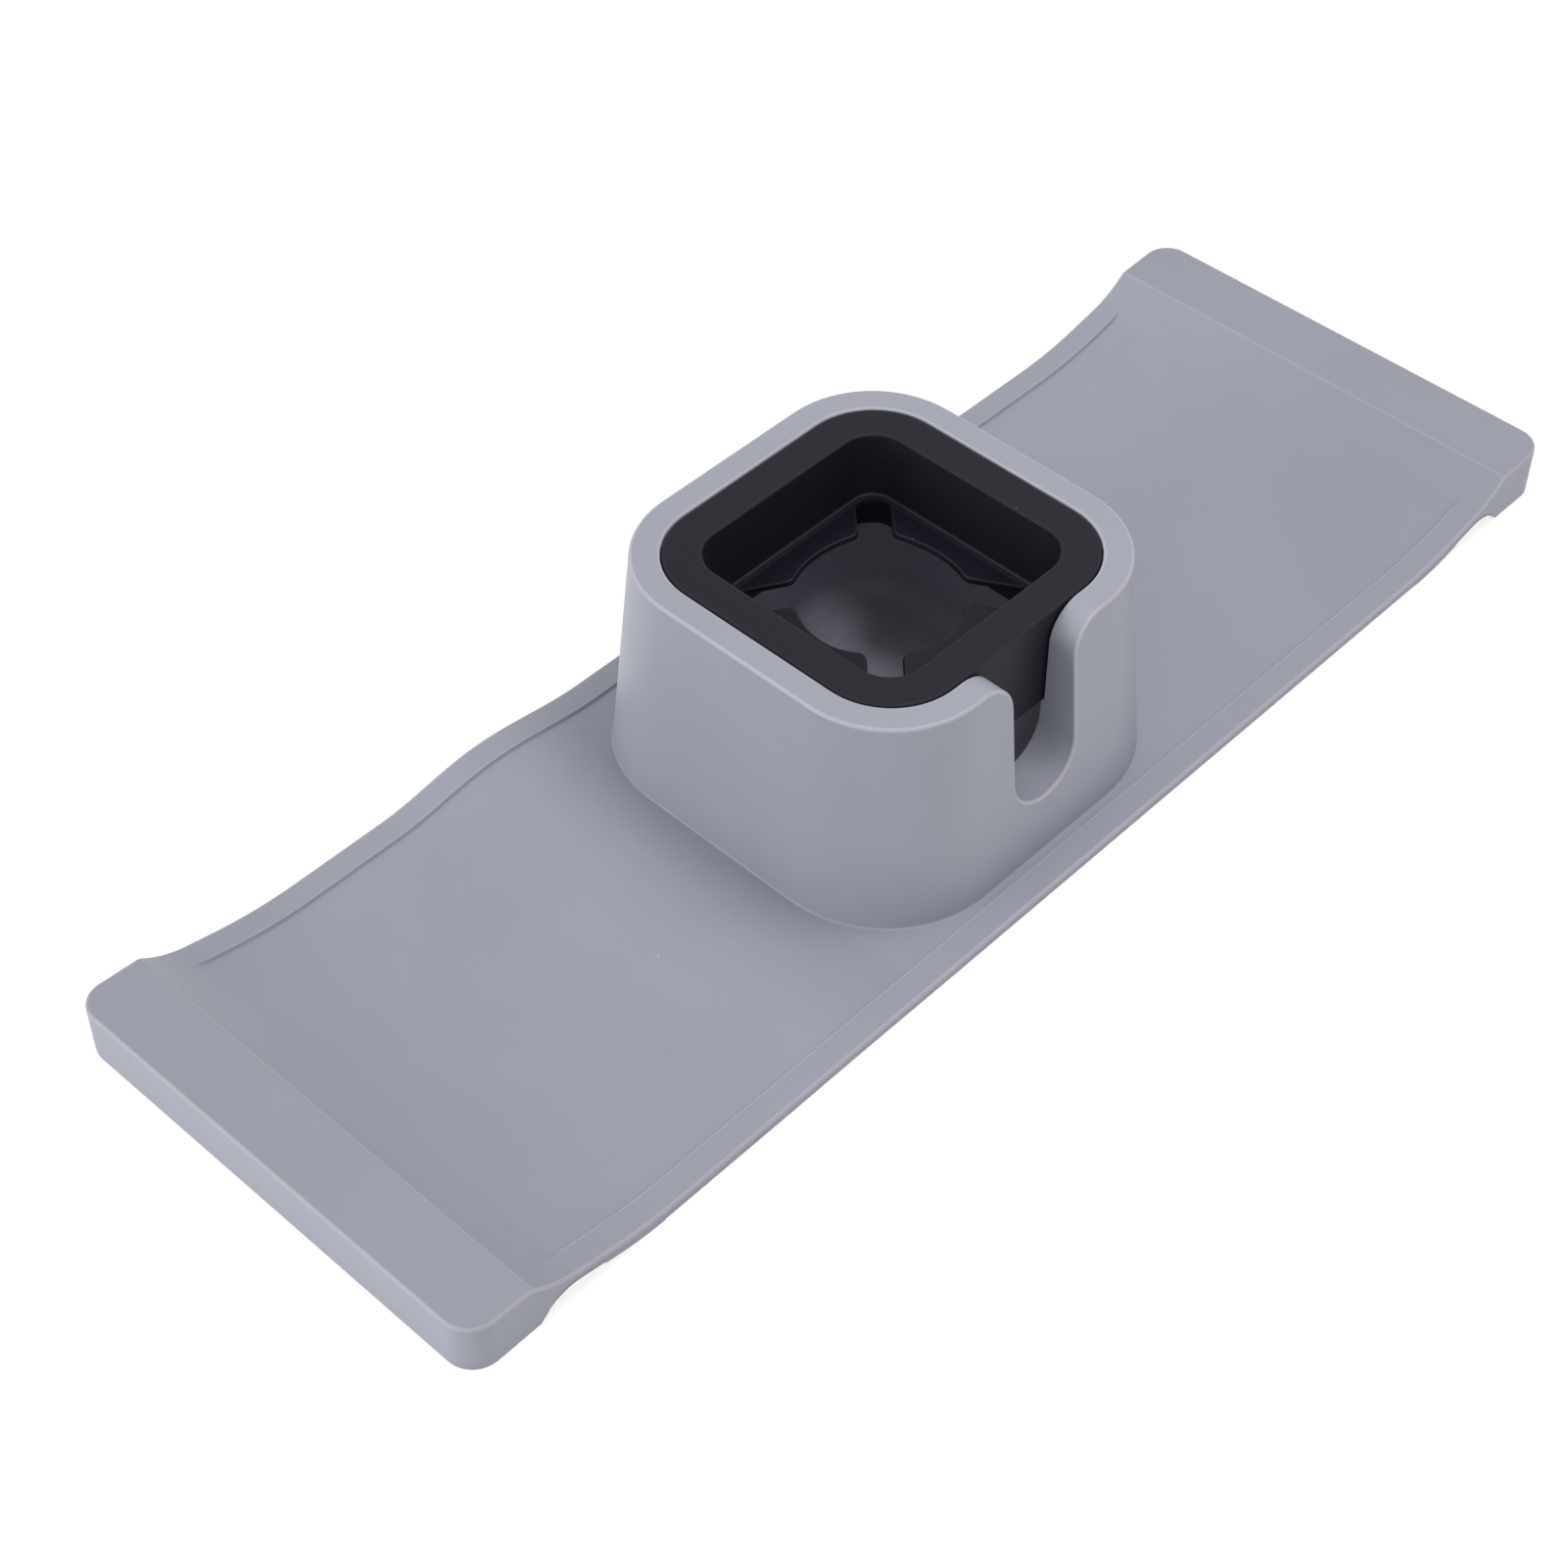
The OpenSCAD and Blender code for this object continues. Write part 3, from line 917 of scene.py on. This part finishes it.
def silicone(name, base):
    """Silicone rubber pressed in a blasted mould: matt, with a faint soft sheen, and holding some dust."""
    if name in bpy.data.materials:
        return bpy.data.materials[name]
    material, tree = new_material(name)
    place = node(tree, "ShaderNodeTexCoord").outputs["Object"]
    # Pigment that flowed unevenly in the mould: clouds some 45 mm across, a level or two lighter or darker
    cloud = node(tree, "ShaderNodeTexNoise", {"Vector": place, "Scale": 1 / (45 * MM), "Detail": 3})
    tone = node(tree, "ShaderNodeMapRange", {
        "Value": cloud.outputs["Fac"], "From Min": 0.3, "From Max": 0.7, "To Min": 0.975, "To Max": 1.025})
    tinted = node(tree, "ShaderNodeHueSaturation", {"Value": tone.outputs["Result"], "Color": rgba(base)})
    # Dust clings to silicone: a few specks on the whole tray, 0.6 mm wide as the real 0.2 mm can't show
    shade = dusted(tree, place, tinted.outputs["Color"], 20, 0.3,
                   (("GREATER_THAN", 0.75, "#d4d5da", 0.7), ("LESS_THAN", 0.12, "#5c5d66", 0.6)))
    # The skin lies in faint waves some 12 mm long, because the rubber shrinks unevenly as it cures
    wave = node(tree, "ShaderNodeTexNoise", {"Vector": place, "Scale": 1 / (12 * MM), "Detail": 1})
    soft = node(tree, "ShaderNodeBump",
                {"Height": wave.outputs["Fac"], "Strength": 0.35, "Distance": 0.25 * MM})
    # The mould's blasted grain is about 0.1 mm, drawn at 0.5 mm so that it shows as a fine tooth
    grain = node(tree, "ShaderNodeTexNoise", {"Vector": place, "Scale": 1 / (0.5 * MM), "Detail": 2})
    bump = node(tree, "ShaderNodeBump", {"Height": grain.outputs["Fac"], "Strength": 0.14,
                                         "Distance": 0.3 * MM, "Normal": soft.outputs["Normal"]})
    gloss = node(tree, "ShaderNodeMapRange", {"Value": cloud.outputs["Fac"], "To Min": 0.4, "To Max": 0.5})
    shader = node(tree, "ShaderNodeBsdfPrincipled", {
        "Base Color": shade, "Roughness": gloss.outputs["Result"], "IOR": 1.41,
        "Normal": bump.outputs["Normal"]})
    node(tree, "ShaderNodeOutputMaterial", {"Surface": shader.outputs["BSDF"]})
    return material


def black_silicone(name, base):
    """Black silicone rubber from a blasted mould: matt and faintly blue, with fine grain and pale dust."""
    if name in bpy.data.materials:
        return bpy.data.materials[name]
    material, tree = new_material(name)
    place = node(tree, "ShaderNodeTexCoord").outputs["Object"]
    # Dust shows more on black: a speck every 60 mm or so, 0.5 mm wide as the real 0.2 mm can't show
    shade = dusted(tree, place, rgba(base), 8, 0.25, (("GREATER_THAN", 0.7, "#9c9da6", 0.5),))
    # The mould's blasted grain is about 0.1 mm, drawn at 0.6 mm so that it shows
    grain = node(tree, "ShaderNodeTexNoise", {"Vector": place, "Scale": 1 / (0.6 * MM), "Detail": 2})
    bump = node(tree, "ShaderNodeBump",
                {"Height": grain.outputs["Fac"], "Strength": 0.25, "Distance": 0.3 * MM})
    shader = node(tree, "ShaderNodeBsdfPrincipled", {
        "Base Color": shade, "Roughness": 0.55, "IOR": 1.41, "Specular IOR Level": 0.3,
        "Normal": bump.outputs["Normal"]})
    node(tree, "ShaderNodeOutputMaterial", {"Surface": shader.outputs["BSDF"]})
    return material


def mill_steel(name, base):
    """Steel bar as rolled: a dull metal, streaked along the bar. It is sealed out of sight."""
    material, tree = new_material(name)
    place = node(tree, "ShaderNodeTexCoord").outputs["Object"]
    # Rolling leaves streaks about 0.3 mm wide and 50 times as long, rougher and smoother by turns
    stretched = node(tree, "ShaderNodeMapping", {"Vector": place, "Scale": (1, 1 / 50, 1)})
    streaks = node(tree, "ShaderNodeTexNoise", {"Vector": stretched.outputs["Vector"], "Scale": 3 / MM})
    rough = node(tree, "ShaderNodeMapRange",
                 {"Value": streaks.outputs["Fac"], "To Min": 0.3, "To Max": 0.5})
    shader = node(tree, "ShaderNodeBsdfPrincipled", {
        "Base Color": rgba(base), "Metallic": 1, "Roughness": rough.outputs["Result"]})
    node(tree, "ShaderNodeOutputMaterial", {"Surface": shader.outputs["BSDF"]})
    return material


# Stage

def direct_rays(tree):
    """Light Path's camera ray, and 1 for a ray that shows a thing as it is: seen, mirrored or refracted."""
    ray = node(tree, "ShaderNodeLightPath").outputs
    seen = node(tree, "ShaderNodeMath", {0: ray["Is Camera Ray"], 1: ray["Is Glossy Ray"]},
                operation="MAXIMUM")
    seen = node(tree, "ShaderNodeMath", {0: seen.outputs["Value"], 1: ray["Is Transmission Ray"]},
                operation="MAXIMUM")
    return ray["Is Camera Ray"], seen.outputs["Value"]


def lay_floor(paper):
    """A matt floor that shows as white, and that the camera sees some way through."""
    glow, clearness = 0.5, 0.6
    side = 30
    under = -0.2 * MM  # the tray stands just clear of it
    floor = rectangle("floor", (side, side), (0, 0, under))
    material, tree = new_material("white_paper")
    camera_ray, seen = direct_rays(tree)
    matt = node(tree, "ShaderNodeBsdfDiffuse", {"Color": rgba(paper)})
    glowing = node(tree, "ShaderNodeEmission", {"Color": (1, 1, 1, 1), "Strength": glow})
    both = node(tree, "ShaderNodeAddShader", {0: matt.outputs["BSDF"], 1: glowing.outputs["Emission"]})
    shown = node(tree, "ShaderNodeMixShader", {0: seen, 1: matt.outputs["BSDF"], 2: both.outputs["Shader"]})
    # The wings hang below the floor when they are bent down, so the camera sees some way through it
    share = node(tree, "ShaderNodeMath", {0: camera_ray, 1: clearness}, operation="MULTIPLY")
    clear = node(tree, "ShaderNodeBsdfTransparent")
    veiled = node(tree, "ShaderNodeMixShader", {
        0: share.outputs["Value"], 1: shown.outputs["Shader"], 2: clear.outputs["BSDF"]})
    node(tree, "ShaderNodeOutputMaterial", {"Surface": veiled.outputs["Shader"]})
    floor.data.materials.append(material)


def raise_sky(scene):
    """An even sky: plain white where it is seen, and weaker where it lights the tray."""
    light = 0.6  # of white, onto the tray
    world = bpy.data.worlds.new("studio")
    scene.world = world
    world.use_nodes = True
    tree = world.node_tree
    tree.nodes.clear()
    seen = direct_rays(tree)[1]
    strength = node(tree, "ShaderNodeMapRange", {"Value": seen, "To Min": light, "To Max": 1})
    sky = node(tree, "ShaderNodeBackground",
               {"Color": (1, 1, 1, 1), "Strength": strength.outputs["Result"]})
    node(tree, "ShaderNodeOutputWorld", {"Surface": sky.outputs["Background"]})


def add_lamp(name, place, size, watts):
    """A square soft lamp that faces the middle of the tray."""
    bpy.ops.object.light_add(type="AREA", location=place)
    lamp = bpy.context.object
    lamp.name = name
    lamp.data.size = size
    lamp.data.energy = watts
    lamp.rotation_euler = (-Vector(place)).to_track_quat("-Z", "Y").to_euler()


def aim_camera(scene):
    """The camera stands where the photograph was taken from, as its straight edges tell."""
    place = (-0.45875, -0.39370, 0.61540)
    azimuth, elevation, roll = math.radians(46.906), math.radians(46.436), math.radians(0.380)
    forward = Vector((math.cos(elevation) * math.sin(azimuth), math.cos(elevation) * math.cos(azimuth),
                      -math.sin(elevation)))
    level = forward.cross(Vector((0, 0, 1))).normalized()
    above = level.cross(forward)
    right = math.cos(roll) * level + math.sin(roll) * above
    up = -math.sin(roll) * level + math.cos(roll) * above
    bpy.ops.object.camera_add()
    camera = bpy.context.object
    camera.name = "camera"
    turned = Matrix((right, up, -forward)).transposed().to_4x4()
    camera.matrix_world = Matrix.Translation(place) @ turned
    camera.data.sensor_width = 36
    camera.data.lens = 69.05
    scene.camera = camera


class SOFATRAY_OT_stage(bpy.types.Operator):
    """Adds the floor, the studio light and the camera"""
    bl_idname = "sofatray.stage"
    bl_label = "Stage"

    def execute(self, context):
        lay_floor(context.scene.finishes.paper)
        raise_sky(context.scene)
        add_lamp("key_light", (-1.7, 0.6, 0.4), size=1, watts=12.4)
        add_lamp("top_light", (0.05, -0.1, 0.5), size=0.15, watts=0.7)
        aim_camera(context.scene)
        context.scene.view_settings.view_transform = "Standard"
        return {"FINISHED"}


class SOFATRAY_PT_panel(bpy.types.Panel):
    """Lists the tray's sizes and the operators that make its pieces"""
    bl_idname = "SOFATRAY_PT_panel"
    bl_label = "Sofa Tray"
    bl_space_type = "VIEW_3D"
    bl_region_type = "UI"
    bl_category = "Sofa Tray"

    def draw(self, context):
        for name, group in GROUPS:
            box = self.layout.box()
            box.label(text=group.__doc__)
            for key in group.__annotations__:
                box.prop(getattr(context.scene, name), key)
        for operator in OPERATORS:
            self.layout.operator(operator.bl_idname)


GROUPS = (("tray_sizes", TraySizes), ("holder_sizes", HolderSizes), ("insert_sizes", InsertSizes),
          ("finishes", Finishes))
OPERATORS = (SOFATRAY_OT_stage, SOFATRAY_OT_tray, SOFATRAY_OT_insert, SOFATRAY_OT_flaps,
             SOFATRAY_OT_weights)


def register():
    for name, group in GROUPS:
        bpy.utils.register_class(group)
        setattr(bpy.types.Scene, name, bpy.props.PointerProperty(type=group))
    for cls in (*OPERATORS, SOFATRAY_PT_panel):
        bpy.utils.register_class(cls)


def unregister():
    for cls in reversed((*OPERATORS, SOFATRAY_PT_panel)):
        bpy.utils.unregister_class(cls)
    for name, group in reversed(GROUPS):
        delattr(bpy.types.Scene, name)
        bpy.utils.unregister_class(group)


def main():
    """Makes the whole scene."""
    register()
    bpy.ops.sofatray.stage()
    bpy.ops.sofatray.tray()
    bpy.ops.sofatray.insert()
    bpy.ops.sofatray.flaps()
    bpy.ops.sofatray.weights()


if __name__ == "__main__":
    main()
